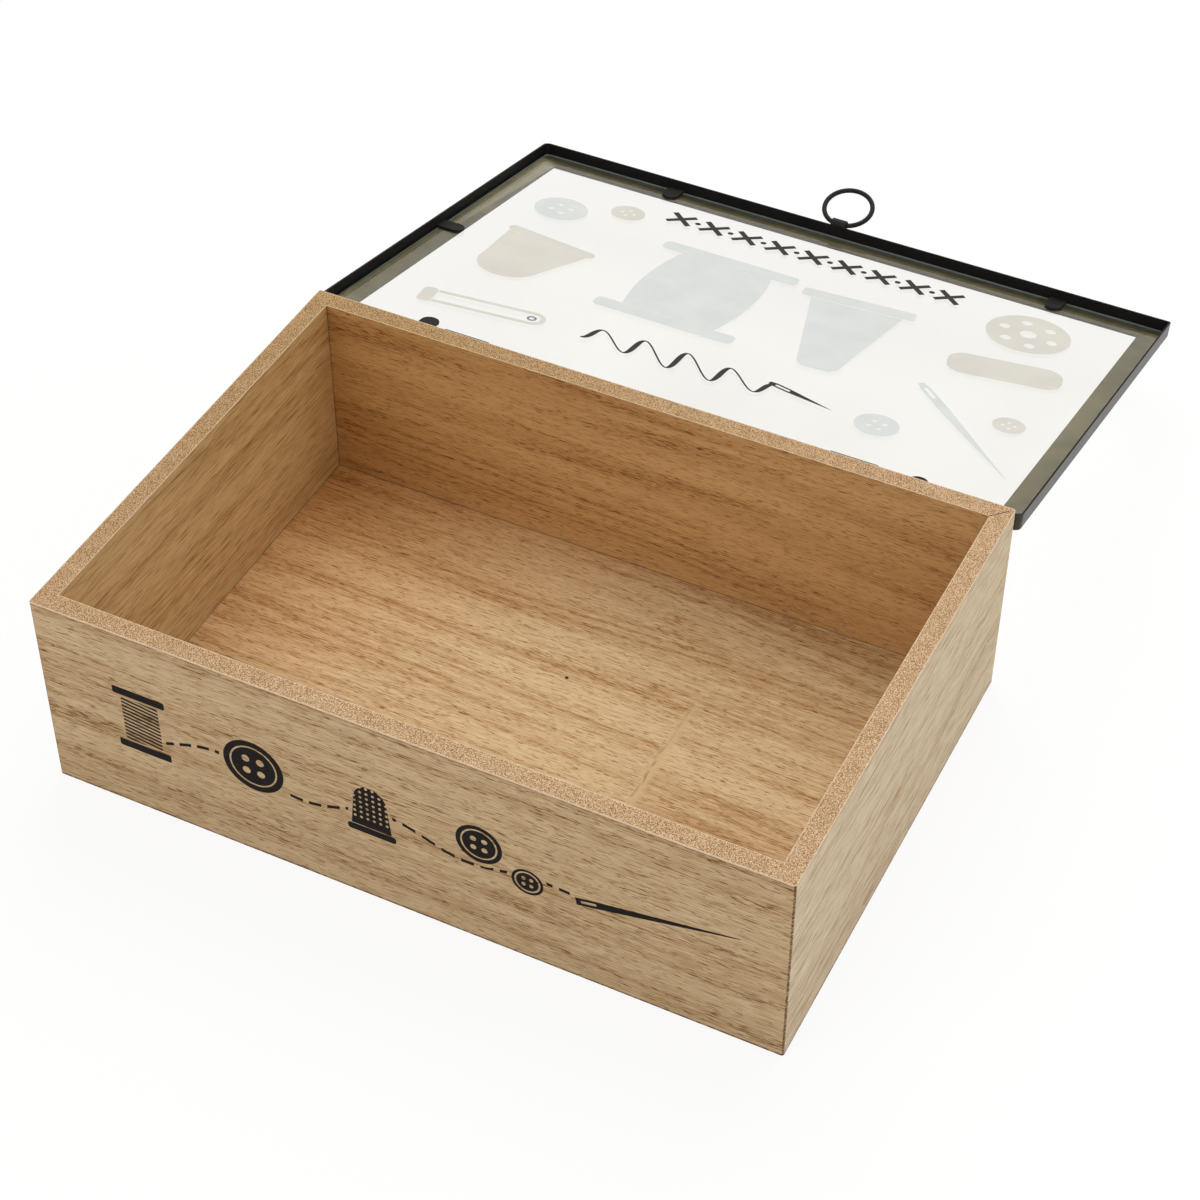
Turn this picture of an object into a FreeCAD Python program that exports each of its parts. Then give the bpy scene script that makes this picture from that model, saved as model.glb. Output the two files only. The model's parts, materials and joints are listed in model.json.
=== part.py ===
import FreeCAD
import Part
import math
import os

# Wooden sewing box with a glazed sheet-metal lid, shown with the lid thrown open behind it.
# Millimetres. X runs along the long front, Y to the back and Z up.
# The origin is the centre of the rectangle that the box stands on.

V = FreeCAD.Vector
X_AXIS = V(1, 0, 0)
Y_AXIS = V(0, 1, 0)
Z_AXIS = V(0, 0, 1)

# Box
box_length = 310.0
box_depth = 212.0
box_height = 93.0
board = 8.0
corner_round = 1.0
bottom_thickness = 3.0
bottom_recess = 2.0
groove_depth = 4.0
groove_end_play = 0.3
groove_play = 0.2

# Lid frame, an angle section of sheet folded round the pane
sheet = 0.8
lid_wall = 7.4
side_clearance = 1.2
end_clearance = 0.4
side_flange = 11.2
front_flange = 12.6
bent_corner = 3.0
joined_corner = 1.3
fold_radius = 1.0
closed_gap = 0.3

# Pane and the tabs that hold it
glass_thickness = 2.0
glass_clearance = 1.1
glass_corner_cut = 1.5
tab_sheet = 0.8
tab_width = 7.8
tab_reach = 12.0
long_tab_reach = 17.0
front_left_tab_inset = 71.0
front_right_tab_inset = 52.0
rear_left_tab_inset = 46.0
rear_right_tab_inset = 45.5
side_tab_place = 1.0

# Hinges
hinge_inset = 68.5
hinge_leaf = 0.8
hinge_width = 20.0
hinge_pin_radius = 1.1
hinge_running_fit = 0.05
hinge_axis_drop = 4.0
box_leaf_height = 19.5
leaf_corner = 2.0
lid_leaf_height = 3.0
middle_knuckle = 6.6
knuckle_gap = 0.2
barrel_clearance = 0.3
pin_overhang = 0.3
pin_chamfer = 0.25
stop_gap = 0.22

# Screws that hold the box leaves
screw_spacing = 12.0
screw_rise = 5.0
screw_radius = 1.0
screw_length = 6.2
screw_point = 1.6
screw_head_radius = 1.9
screw_head_height = 1.2
screw_head_edge = 0.5
screw_hole_clearance = 0.15
screw_thread_play = 0.04
screw_pilot_spare = 0.5
recess_width = 0.5
recess_depth = 0.6
recess_length = 2.0

# Pull ring and the strap that carries it
ring_wire_radius = 1.125
ring_mean_radius = 11.25
ring_bends = 36
ring_tilt = 26.0
strap_centre = -4.7
strap_width = 7.2
strap_sheet = 0.6
strap_bore = 1.75
strap_leg = 5.6
strap_edge_break = 0.2

# Levels and faces that follow from the sizes above
half_length = box_length / 2
half_depth = box_depth / 2
floor_top = bottom_recess + bottom_thickness
lid_half_length = half_length + side_clearance + sheet
lid_half_depth = half_depth + end_clearance + sheet
lid_edge = box_height + closed_gap - (lid_wall - sheet - glass_thickness - tab_sheet)
lid_top = lid_edge + lid_wall
glass_top = lid_top - sheet
glass_under = glass_top - glass_thickness

front_tab_places = {"glass_tab_front_left": front_left_tab_inset - lid_half_length,
                    "glass_tab_front_right": lid_half_length - front_right_tab_inset}
rear_tab_places = {"glass_tab_rear_left": rear_left_tab_inset - lid_half_length,
                   "glass_tab_rear_right": lid_half_length - rear_right_tab_inset}

hinge_places = {"left": hinge_inset - half_length, "right": half_length - hinge_inset}
barrel_radius = hinge_pin_radius + hinge_running_fit + hinge_leaf
pivot_y = half_depth + barrel_radius
pivot_z = box_height - hinge_axis_drop
leaf_face = half_depth + hinge_leaf

# The open lid stops where the rounded fold of its rear wall reaches the box leaves
fold_y = lid_half_depth - fold_radius - pivot_y
fold_z = lid_top - fold_radius - pivot_z
fold_reach = math.hypot(fold_y, fold_z)
stop_offset = leaf_face + stop_gap + fold_radius - pivot_y
open_angle = 180.0 - math.degrees(math.asin(stop_offset / fold_reach) + math.atan2(fold_y, fold_z))

eye_radius = strap_bore + strap_sheet
eye_y = -lid_half_depth - eye_radius
eye_z = lid_edge


def block(x0, x1, y0, y1, z0, z1):
    return Part.makeBox(x1 - x0, y1 - y0, z1 - z0, V(x0, y0, z0))


def prism(points, z0, z1):
    corners = [V(x, y, z0) for x, y in points]
    face = Part.Face(Part.makePolygon(corners + corners[:1]))
    return face.extrude(V(0, 0, z1 - z0))


def rod(radius, x0, x1, y, z):
    return Part.makeCylinder(radius, x1 - x0, V(x0, y, z), X_AXIS)


def upright_edges(shape, wanted):
    found = []
    for edge in shape.Edges:
        low, high = edge.BoundBox.ZMin, edge.BoundBox.ZMax
        if high - low > 1e-3 and edge.BoundBox.XLength < 1e-6 and edge.BoundBox.YLength < 1e-6:
            if wanted(edge.BoundBox.XMin, edge.BoundBox.YMin):
                found.append(edge)
    return found


def level_edges(shape, level):
    return [e for e in shape.Edges if abs(e.BoundBox.ZMin - level) < 1e-5 and abs(e.BoundBox.ZMax - level) < 1e-5]


def open_lid(shape):
    # Lid parts are drawn on the closed box, then swung up and over to where they rest
    turned = shape.copy()
    turned.rotate(V(0, pivot_y, pivot_z), X_AXIS, -open_angle)
    return turned


# Box


def box_walls():
    outer = block(-half_length, half_length, -half_depth, half_depth, 0, box_height)
    outer = outer.makeFillet(corner_round, upright_edges(outer, lambda x, y: True))
    inner_x = half_length - board
    inner_y = half_depth - board
    hollow = block(-inner_x, inner_x, -inner_y, inner_y, -1, box_height + 1)
    groove_x = inner_x + groove_depth
    groove_y = inner_y + groove_depth
    groove_top = floor_top + groove_play
    groove = block(-groove_x, groove_x, -groove_y, groove_y, bottom_recess, groove_top)
    return outer.cut(hollow).cut(groove)


def mitred_panel(walls, side_x, side_y):
    # The mitres run at 45 degrees through the outer and inner corners
    past = board + 1
    out_x = half_length + 1
    out_y = half_depth + 1
    in_x = half_length - past
    in_y = half_depth - past
    if side_y:
        outline = [(-out_x, side_y * out_y), (out_x, side_y * out_y), (in_x, side_y * in_y), (-in_x, side_y * in_y)]
    else:
        outline = [(side_x * out_x, -out_y), (side_x * out_x, out_y), (side_x * in_x, in_y), (side_x * in_x, -in_y)]
    return walls.common(prism(outline, -1, box_height + 1))


def bottom_panel():
    reach = groove_depth - groove_end_play
    panel_x = half_length - board + reach
    panel_y = half_depth - board + reach
    return block(-panel_x, panel_x, -panel_y, panel_y, bottom_recess, floor_top)


# Lid


def tray(half_x, half_y, low, high, bent, joined, fold):
    # A block with three bent corners, one joined corner at the front right and a folded upper edge
    body = block(-half_x, half_x, -half_y, half_y, low, high)
    is_joined = lambda x, y: x > 0 and y < 0
    body = body.makeFillet(joined, upright_edges(body, is_joined))
    body = body.makeFillet(bent, upright_edges(body, lambda x, y: abs(abs(x) - half_x) < 1e-4
                                               and abs(abs(y) - half_y) < 1e-4 and not is_joined(x, y)))
    return body.makeFillet(fold, level_edges(body, high))


def lid_frame():
    outer = tray(lid_half_length, lid_half_depth, lid_edge, lid_top, bent_corner, joined_corner, fold_radius)
    inner_x = lid_half_length - sheet
    inner_y = lid_half_depth - sheet
    bent_inside = bent_corner - sheet
    joined_inside = joined_corner - sheet
    cavity = tray(inner_x, inner_y, lid_edge - 1, glass_top, bent_inside, joined_inside, fold_radius - sheet)
    window_x = lid_half_length - side_flange
    window_front = -lid_half_depth + front_flange
    window_rear = lid_half_depth - side_flange
    window = block(-window_x, window_x, window_front, window_rear, lid_edge, lid_top + 1)
    frame = outer.cut(cavity).cut(window)
    for place in hinge_places.values():
        frame = frame.cut(barrel_notch(place))
    return frame


def barrel_notch(place):
    # The rear wall is cut back where the hinge barrel turns against it
    half = hinge_width / 2 + barrel_clearance
    free_radius = barrel_radius + barrel_clearance
    depth_to_barrel = pivot_y - lid_half_depth
    top = pivot_z + math.sqrt(free_radius ** 2 - depth_to_barrel ** 2)
    return block(place - half, place + half, lid_half_depth - 2 * sheet, lid_half_depth + 1, lid_edge - 1, top)


def lid_glass():
    pane_x = lid_half_length - sheet - glass_clearance
    pane_y = lid_half_depth - sheet - glass_clearance
    cut_x = pane_x - glass_corner_cut
    cut_y = pane_y - glass_corner_cut
    outline = [(-cut_x, -pane_y), (cut_x, -pane_y), (pane_x, -cut_y), (pane_x, cut_y),
               (cut_x, pane_y), (-cut_x, pane_y), (-pane_x, cut_y), (-pane_x, -cut_y)]
    return prism(outline, glass_under, glass_top)


def glass_tab(reach, wall_distance, turn, along):
    # A strip welded to the inside of a wall and bent over the edge of the pane, drawn for the rear wall
    half = tab_width / 2
    low = glass_under - tab_sheet
    end = wall_distance - reach
    foot = block(-half, half, wall_distance - tab_sheet, wall_distance, low, glass_top)
    tongue = block(-half, half, end + half, wall_distance, low, glass_under)
    tip = Part.makeCylinder(half, tab_sheet, V(0, end + half, low), Z_AXIS)
    tab = foot.fuse(tongue).fuse(tip).removeSplitter()
    tab.rotate(V(0, 0, 0), Z_AXIS, turn)
    tab.translate(along)
    return tab


# Hinges


def knuckle(x0, x1):
    outside = rod(barrel_radius, x0, x1, pivot_y, pivot_z)
    bore = rod(hinge_pin_radius + hinge_running_fit, x0 - 1, x1 + 1, pivot_y, pivot_z)
    return outside, bore


def box_leaf(place):
    half = hinge_width / 2
    inner = middle_knuckle / 2 + knuckle_gap
    leaf = block(place - half, place + half, half_depth, leaf_face, pivot_z - box_leaf_height, pivot_z)
    lower = [e for e in leaf.Edges if e.BoundBox.YLength > hinge_leaf / 2
             and e.BoundBox.ZMax < pivot_z - box_leaf_height / 2]
    leaf = leaf.makeFillet(leaf_corner, lower)
    gap_low = pivot_z - barrel_radius - barrel_clearance
    leaf = leaf.cut(block(place - inner, place + inner, half_depth - 1, leaf_face + 1, gap_low, pivot_z + 1))
    for x0, x1 in ((place - half, place - inner), (place + inner, place + half)):
        outside, bore = knuckle(x0, x1)
        leaf = leaf.fuse(outside).cut(bore)
    for x in screw_places(place):
        hole = Part.makeCylinder(screw_radius + screw_hole_clearance, 4 * hinge_leaf,
                                 V(x, half_depth - hinge_leaf, screw_level()), Y_AXIS)
        leaf = leaf.cut(hole)
    return leaf.removeSplitter()


def lid_leaf(place):
    # A tee-shaped leaf: its foot is welded to the outside of the rear wall, above the box's knuckles
    half = hinge_width / 2
    middle = middle_knuckle / 2
    face = lid_half_depth
    crossbar_low = pivot_z + barrel_radius + barrel_clearance
    crossbar = block(place - half, place + half, face, face + hinge_leaf, crossbar_low, lid_edge + lid_leaf_height)
    stem_low = pivot_z + hinge_pin_radius
    stem = block(place - middle, place + middle, face, face + hinge_leaf, stem_low, crossbar_low)
    outside, bore = knuckle(place - middle, place + middle)
    return outside.fuse(stem).fuse(crossbar).cut(bore).removeSplitter()


def hinge_pin(place):
    half = hinge_width / 2 + pin_overhang
    pin = rod(hinge_pin_radius, place - half, place + half, pivot_y, pivot_z)
    ends = [e for e in pin.Edges if e.BoundBox.XLength < 1e-6]
    return pin.makeChamfer(pin_chamfer, ends)


def screw_places(place):
    return (place - screw_spacing / 2, place + screw_spacing / 2)


def screw_level():
    return pivot_z - box_leaf_height + screw_rise


def leaf_screw(x):
    # A pan-head screw along Y, its head seated on the leaf, with a cross recess
    rim = screw_head_radius
    top = screw_head_height
    profile = [V(0, 0, -screw_length), V(screw_radius, 0, screw_point - screw_length), V(screw_radius, 0, 0),
               V(rim, 0, 0), V(rim, 0, top - screw_head_edge), V(rim - screw_head_edge, 0, top), V(0, 0, top)]
    body = Part.Face(Part.makePolygon(profile + profile[:1])).revolve(V(0, 0, 0), Z_AXIS, 360)
    low = top - recess_depth
    long_half = recess_length / 2
    thin_half = recess_width / 2
    body = body.cut(block(-long_half, long_half, -thin_half, thin_half, low, top + 1))
    body = body.cut(block(-thin_half, thin_half, -long_half, long_half, low, top + 1))
    body.rotate(V(0, 0, 0), X_AXIS, -90)
    body.translate(V(x, leaf_face, screw_level()))
    return body


def screw_pilot(x):
    depth = screw_length - hinge_leaf + screw_pilot_spare
    radius = screw_radius + screw_thread_play
    return Part.makeCylinder(radius, depth + 1, V(x, half_depth - depth, screw_level()), Y_AXIS)


# Pull


def ring_strap():
    # A strip welded to the outside of the front wall and rolled into an eye at the wall's free edge
    x0 = strap_centre - strap_width / 2
    x1 = strap_centre + strap_width / 2
    leg = block(x0, x1, -lid_half_depth - strap_sheet, -lid_half_depth, eye_z, eye_z + strap_leg)
    eye = rod(eye_radius, x0, x1, eye_y, eye_z)
    eye = eye.makeChamfer(strap_edge_break, [e for e in eye.Edges if e.BoundBox.XLength < 1e-6])
    bore = rod(strap_bore, x0 - 1, x1 + 1, eye_y, eye_z)
    return eye.fuse(leg).cut(bore).removeSplitter()


def pull_ring():
    # The wire bows across the eye, so half of its bow lies on each side of the eye's centre
    bow = ring_mean_radius - math.sqrt(ring_mean_radius ** 2 - (strap_width / 2) ** 2)
    centre = V(strap_centre, eye_y - ring_mean_radius + bow / 2, eye_z)
    sections = []
    for bend in range(ring_bends):
        angle = 2 * math.pi * bend / ring_bends
        outward = V(math.cos(angle), math.sin(angle), 0)
        wire = Part.makeCircle(ring_wire_radius, centre + outward * ring_mean_radius, Z_AXIS.cross(outward))
        sections.append(Part.Wire([wire]))
    ring = Part.makeLoft(sections, True, True, True)
    ring.rotate(V(strap_centre, eye_y, eye_z), X_AXIS, ring_tilt)
    return ring


def build_parts():
    walls = box_walls()
    back = mitred_panel(walls, 0, 1)
    for place in hinge_places.values():
        for x in screw_places(place):
            back = back.cut(screw_pilot(x))
    parts = {
        "front_panel": mitred_panel(walls, 0, -1),
        "back_panel": back,
        "left_panel": mitred_panel(walls, -1, 0),
        "right_panel": mitred_panel(walls, 1, 0),
        "bottom_panel": bottom_panel(),
        "lid_frame": open_lid(lid_frame()),
        "lid_glass": open_lid(lid_glass()),
        "ring_strap": open_lid(ring_strap()),
        "pull_ring": open_lid(pull_ring()),
    }
    wall_y = lid_half_depth - sheet
    wall_x = lid_half_length - sheet
    for name, place in front_tab_places.items():
        parts[name] = open_lid(glass_tab(tab_reach, wall_y, 180, V(place, 0, 0)))
    for name, place in rear_tab_places.items():
        reach = long_tab_reach if place < 0 else tab_reach
        parts[name] = open_lid(glass_tab(reach, wall_y, 0, V(place, 0, 0)))
    parts["glass_tab_left"] = open_lid(glass_tab(tab_reach, wall_x, 90, V(0, side_tab_place, 0)))
    for side, place in hinge_places.items():
        parts["hinge_box_leaf_" + side] = box_leaf(place)
        parts["hinge_lid_leaf_" + side] = open_lid(lid_leaf(place))
        parts["hinge_pin_" + side] = hinge_pin(place)
        parts["hinge_screws_" + side] = Part.makeCompound([leaf_screw(x) for x in screw_places(place)])
    return parts


os.makedirs("parts", exist_ok=True)
all_parts = build_parts()
for node, shape in all_parts.items():
    shape.exportStep("parts/" + node + ".step")
    print(node, "solids", len(shape.Solids), "valid", shape.isValid(), "volume", round(shape.Volume, 1))
open_point = V(0, pivot_y, pivot_z)
eye_open = open_lid(Part.Vertex(V(strap_centre, eye_y, eye_z))).Point
print("lid pivot", [round(c, 3) for c in open_point], "opens", round(open_angle, 3), "degrees")
print("ring pivot", [round(c, 3) for c in eye_open])
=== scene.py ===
import bmesh
import bpy
import json
import math
from mathutils import Matrix, Vector


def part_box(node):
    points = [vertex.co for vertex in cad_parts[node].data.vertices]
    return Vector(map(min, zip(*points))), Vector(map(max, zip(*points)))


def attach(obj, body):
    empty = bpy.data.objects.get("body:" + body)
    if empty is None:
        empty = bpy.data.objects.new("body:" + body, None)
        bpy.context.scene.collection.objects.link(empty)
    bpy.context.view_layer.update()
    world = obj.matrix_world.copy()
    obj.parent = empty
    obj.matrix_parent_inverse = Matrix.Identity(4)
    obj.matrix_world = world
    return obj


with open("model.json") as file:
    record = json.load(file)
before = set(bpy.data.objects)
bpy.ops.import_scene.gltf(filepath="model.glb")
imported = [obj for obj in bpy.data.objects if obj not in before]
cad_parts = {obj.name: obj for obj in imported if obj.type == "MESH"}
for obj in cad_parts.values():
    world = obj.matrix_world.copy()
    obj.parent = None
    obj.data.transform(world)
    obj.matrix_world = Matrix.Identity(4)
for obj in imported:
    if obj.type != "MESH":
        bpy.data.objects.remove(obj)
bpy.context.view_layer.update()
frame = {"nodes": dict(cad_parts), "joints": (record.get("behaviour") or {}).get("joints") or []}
print("stage: frame loaded,", len(frame["nodes"]), "nodes")

mm = 0.001


def tint(red, green, blue):
    # A screen colour, 0 to 255, as the linear colour that a shader takes
    return tuple(((c / 255 + 0.055) / 1.055) ** 2.4 for c in (red, green, blue)) + (1.0,)


# Shader kit

class Wire:
    # One output of a node. Sums written with it become Math nodes
    def __init__(self, finish, socket):
        self.finish = finish
        self.socket = socket

    def maths(self, operation, first, second=0.0):
        return self.finish.node("ShaderNodeMath", {"operation": operation}, {0: first, 1: second})

    def __add__(self, other):
        return self.maths("ADD", self, other)

    __radd__ = __add__

    def __sub__(self, other):
        return self.maths("SUBTRACT", self, other)

    def __rsub__(self, other):
        return self.maths("SUBTRACT", other, self)

    def __mul__(self, other):
        return self.maths("MULTIPLY", self, other)

    __rmul__ = __mul__

    def __truediv__(self, other):
        return self.maths("DIVIDE", self, other)

    def __rtruediv__(self, other):
        return self.maths("DIVIDE", other, self)

    def size(self):
        return self.maths("ABSOLUTE", self)

    def part(self):
        return self.maths("FRACT", self)

    def wave(self):
        return self.maths("SINE", self)

    def root(self):
        return self.maths("SQRT", self)

    def least(self, other):
        return self.maths("MINIMUM", self, other)

    def most(self, other):
        return self.maths("MAXIMUM", self, other)

    def ramp(self, low, high):
        # 0 at low, 1 at high and held outside them. low may be the larger
        return self.finish.node("ShaderNodeMapRange", {"clamp": True}, {0: self, 1: low, 2: high})


class Finish:
    # A node tree, with one method that makes any node
    def __init__(self, owner):
        owner.use_nodes = True
        self.owner = owner
        self.tree = owner.node_tree
        self.tree.nodes.clear()

    def node(self, kind, settings=(), values=(), out=0):
        made = self.tree.nodes.new(kind)
        for name, value in dict(settings).items():
            setattr(made, name, value)
        for name, value in dict(values).items():
            if isinstance(value, Wire):
                self.tree.links.new(value.socket, made.inputs[name])
            else:
                made.inputs[name].default_value = value
        return Wire(self, made.outputs[out]) if made.outputs else None

    def axes(self, vector):
        return [self.node("ShaderNodeSeparateXYZ", (), {0: vector}, out=axis) for axis in "XYZ"]

    def place(self):
        # The object's own coordinates, in millimetres
        return [axis * 1000.0 for axis in self.axes(self.node("ShaderNodeTexCoord", out="Object"))]

    def facing(self):
        return self.axes(self.node("ShaderNodeTexCoord", out="Normal"))

    def noise(self, x, y, z, detail=2.0, rough=0.5):
        vector = self.node("ShaderNodeCombineXYZ", (), {0: x, 1: y, 2: z})
        return self.node("ShaderNodeTexNoise", (), {"Vector": vector, "Scale": 1.0, "Detail": detail,
                                                    "Roughness": rough})

    def mix(self, mask, first, second):
        # Colours, mixed by a mask: first at 0 and second at 1
        return self.node("ShaderNodeMix", {"data_type": "RGBA", "clamp_factor": True},
                         {0: mask, 6: first, 7: second}, out=2)

    def shade(self, mask, colour, by):
        # A colour, multiplied by another where the mask is 1
        return self.node("ShaderNodeMix",
                         {"data_type": "RGBA", "blend_type": "MULTIPLY", "clamp_factor": True},
                         {0: mask, 6: colour, 7: by}, out=2)

    def bump(self, height, depth, strength=1.0):
        return self.node("ShaderNodeBump", (), {"Height": height, "Distance": depth, "Strength": strength})

    def surface(self, values):
        self.out(self.node("ShaderNodeBsdfPrincipled", (), values))
        return self.owner

    def out(self, shader, kind="ShaderNodeOutputMaterial"):
        self.node(kind, (), {"Surface": shader})


def newFinish(name):
    return Finish(bpy.data.materials.new(name))


def wear(node, material):
    mesh = frame["nodes"][node].data
    mesh.materials.clear()
    mesh.materials.append(material)


# Sizes that the finishes need, from the frame

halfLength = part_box("right_panel")[1].x / mm
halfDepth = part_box("back_panel")[1].y / mm
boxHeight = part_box("front_panel")[1].z / mm
boardThickness = (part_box("left_panel")[1].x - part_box("left_panel")[0].x) / mm
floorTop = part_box("bottom_panel")[1].z / mm

lidHinge = next(joint for joint in frame["joints"] if joint["name"] == "lid_hinge")
lidPivot = Vector(lidHinge["pos_m"])
lidOpen = math.radians(lidHinge["range_deg"][1])
# Takes a point of the closed lid to where it rests open
lidTurn = Matrix.Translation(lidPivot) @ Matrix.Rotation(-lidOpen, 4, "X") @ Matrix.Translation(-lidPivot)

# Board with printed wood foil. A size is a length along the grain and a height across it, in millimetres

foil = {
    "front": {"pale": tint(197, 171, 135), "dark": tint(161, 128, 88), "pore": tint(110, 72, 32),
              "slope": 0.012, "drift": 9.0, "bandSize": (260.0, 9.0), "bandShare": 0.38,
              "ringSize": (360.0, 12.0), "ringCount": 8.0, "ringShare": 0.16, "ringPull": 0.1,
              "poreSize": (5.0, 0.42), "poreEdge": 0.655, "poreShare": 0.9, "fibre": 3.2},
    "side": {"pale": tint(207, 191, 163), "dark": tint(184, 162, 132), "pore": tint(150, 116, 80),
             "slope": 0.02, "drift": 8.0, "bandSize": (260.0, 10.0), "bandShare": 0.4,
             "ringSize": (360.0, 14.0), "ringCount": 8.0, "ringShare": 0.35, "ringPull": 0.09,
             "poreSize": (12.0, 0.44), "poreEdge": 0.655, "poreShare": 0.92, "fibre": 3.9},
    "inside": {"pale": tint(207, 167, 115), "dark": tint(178, 135, 85), "pore": tint(122, 76, 36),
               "paintedCornerShade": (0.9, 0.84, 0.7, 1.0), "slope": 0.03, "drift": 9.0, "bandSize": (260.0, 12.0),
               "bandShare": 0.36, "ringSize": (360.0, 13.0), "ringCount": 6.0, "ringShare": 0.32,
               "ringPull": 0.1, "poreSize": (4.5, 0.32), "poreEdge": 0.65, "poreShare": 0.9, "fibre": 1.9},
    "insideEnd": {"pale": tint(206, 176, 130), "dark": tint(178, 144, 97), "pore": tint(126, 86, 44),
                  "paintedCornerShade": (0.94, 0.86, 0.72, 1.0), "slope": 0.02, "drift": 7.0, "bandSize": (260.0, 10.0),
                  "bandShare": 0.36, "ringSize": (360.0, 12.0), "ringCount": 9.0, "ringShare": 0.35,
                  "ringPull": 0.08, "poreSize": (12.0, 0.3), "poreEdge": 0.645, "poreShare": 0.85,
                  "fibre": 2.7},
    "floor": {"pale": tint(226, 198, 155), "dark": tint(188, 148, 101), "pore": tint(144, 90, 36),
              "paintedCornerShade": (0.84, 0.6, 0.34, 1.0), "slope": 0.03, "drift": 10.0, "bandSize": (260.0, 13.0),
              "bandShare": 0.38, "ringSize": (360.0, 15.0), "ringCount": 7.0, "ringShare": 0.34,
              "ringPull": 0.085, "poreSize": (4.2, 0.34), "poreEdge": 0.64, "poreShare": 0.85,
              "fibre": 2.3},
}
# What all the foil shares. Painted shade: towards the back left corner of the box everything is multiplied to
# a deeper tone, standing in for the shade there
grainLook = {"driftSize": (150.0, 70.0), "fibreSize": (11.0, 0.4), "faintSize": (8.0, 0.34),
             "faintShare": 0.25, "baseTone": 0.14, "ringHalf": (0.32, 0.02), "fibreRelief": 0.3,
             "poreRelief": 0.35, "paintedShadeReach": (200.0, 20.0)}


def streaks(finish, along, across, size, seed, detail=2.0):
    return finish.noise(along / size[0], across / size[1], seed, detail)


def grain(finish, along, across, look, seed):
    # Rings that wander along the board, each a soft line that gathers short dark pores, on broad bands and
    # a fine fibre. The pores and the fibre run straight. Returns a colour and a height
    drift = streaks(finish, along, across, grainLook["driftSize"], seed, 1.0) - 0.5
    bent = across + along * look["slope"] + drift * look["drift"]
    band = streaks(finish, along, bent, look["bandSize"], seed + 3.1)
    level = streaks(finish, along, bent, look["ringSize"], seed + 7.3, 0.0) * look["ringCount"]
    ring = (level.part() - 0.5).size().ramp(*grainLook["ringHalf"]) * band.ramp(0.36, 0.56)
    fibre = streaks(finish, along, across, grainLook["fibreSize"], seed + 17.9, 1.0)
    pore = streaks(finish, along, across, look["poreSize"], seed + 11.7, 1.0)
    pores = (pore + ring * look["ringPull"] - look["poreEdge"]).ramp(-0.015, 0.03) * look["poreShare"]
    faint = streaks(finish, along, across, grainLook["faintSize"], seed + 23.3, 0.0).ramp(0.6, 0.72)
    tone = band.ramp(0.38, 0.62) * look["bandShare"] + (fibre - 0.5) * look["fibre"]
    tone = tone + grainLook["baseTone"] + ring * look["ringShare"]
    colour = finish.mix(tone, look["pale"], look["dark"])
    colour = finish.mix(pores.most(faint * grainLook["faintShare"]), colour, look["pore"])
    return colour, fibre * grainLook["fibreRelief"] - pores * grainLook["poreRelief"]


def paintedCornerShade(x, y, reach):
    # A mask of painted shade: 1 in the back left corner of the box, and 0 well away from it
    return ((x + halfLength).size() + (halfDepth - y).size()).ramp(*reach)


rawLook = {"pale": tint(218, 190, 154), "dark": tint(142, 100, 60), "speck": tint(112, 72, 42),
           "grainSize": 0.38, "grainEdge": (0.44, 0.55), "clumpSize": 7.0, "clumpShare": 0.08,
           "speckSize": 0.6, "speckShare": 0.5, "paintedCornerShade": (0.78, 0.74, 0.62, 1.0), "paintedShadeReach": (330.0, 60.0)}


def rawBoard(finish, x, y, z):
    # Cut fibreboard: fine grains, with some darker specks, and painted shade towards the back left corner
    size, clump, speck = rawLook["grainSize"], rawLook["clumpSize"], rawLook["speckSize"]
    grains = finish.noise(x / size, y / size, z / size, 2.0, 0.6)
    clumps = finish.noise(x / clump, y / clump, z / clump).ramp(0.36, 0.64)
    specks = finish.noise(x / speck + 40.0, y / speck, z / speck, 1.0).ramp(0.68, 0.74)
    tone = grains.ramp(*rawLook["grainEdge"]) * (1.0 - rawLook["clumpShare"]) + clumps * rawLook["clumpShare"]
    colour = finish.mix(tone, rawLook["pale"], rawLook["dark"])
    colour = finish.mix(specks * rawLook["speckShare"], colour, rawLook["speck"])
    # Painted shade deepens the cut board towards the back left corner
    return finish.shade(paintedCornerShade(x, y, rawLook["paintedShadeReach"]), colour, rawLook["paintedCornerShade"]), grains


boardLook = {"foilDepth": 1.3, "innerDepth": 0.2, "rawRough": 0.85, "foilRough": 0.65, "shine": 0.1,
             "relief": 0.06, "rawRelief": 2.0}
edgeLook = {"pale": tint(232, 210, 182), "line": tint(88, 54, 26), "gap": tint(52, 36, 22), "rimHighlightWidth": 0.45,
            "rimHighlightShare": 0.55, "cornerReach": 0.85, "footReach": 1.0, "rubSize": (2.2, 1.1), "lip": 0.85,
            "lipHighlightShare": 0.5, "underHalf": 0.26, "gapHalf": 0.22, "gapShare": 0.75, "mitreFrom": (1.2, 2.4)}


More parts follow.
